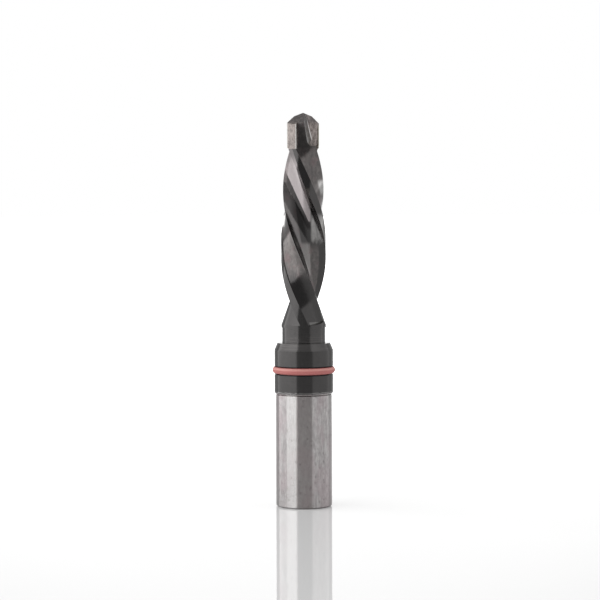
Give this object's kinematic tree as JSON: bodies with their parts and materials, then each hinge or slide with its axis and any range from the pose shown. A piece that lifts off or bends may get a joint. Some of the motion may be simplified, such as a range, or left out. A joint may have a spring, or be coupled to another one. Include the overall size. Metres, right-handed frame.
{
  "type": "dowel drill bit",
  "caption": "Left-hand dowel drill with a plain shank, ringed collar, helical flutes and a brazed V-point plate.",
  "frame": {"origin": "centre of the shank's end face", "axes": "+Z along the drill towards its point, -Y to the front with the clamping flat on the back at +Y"},
  "size_m": [0.0112, 0.0112, 0.07],
  "materials": {
    "drill_body": "ground shank, black slide coating from the collar to the head",
    "carbide_tip": "ground hard metal",
    "marker_ring": "satin elastomer",
    "adjusting_screw": "black oxide"
  },
  "bodies": {
    "root": {"drill_body": "drill_body", "carbide_tip": "carbide_tip", "marker_ring": "marker_ring", "adjusting_screw": "adjusting_screw"}
  },
  "joints": []
}
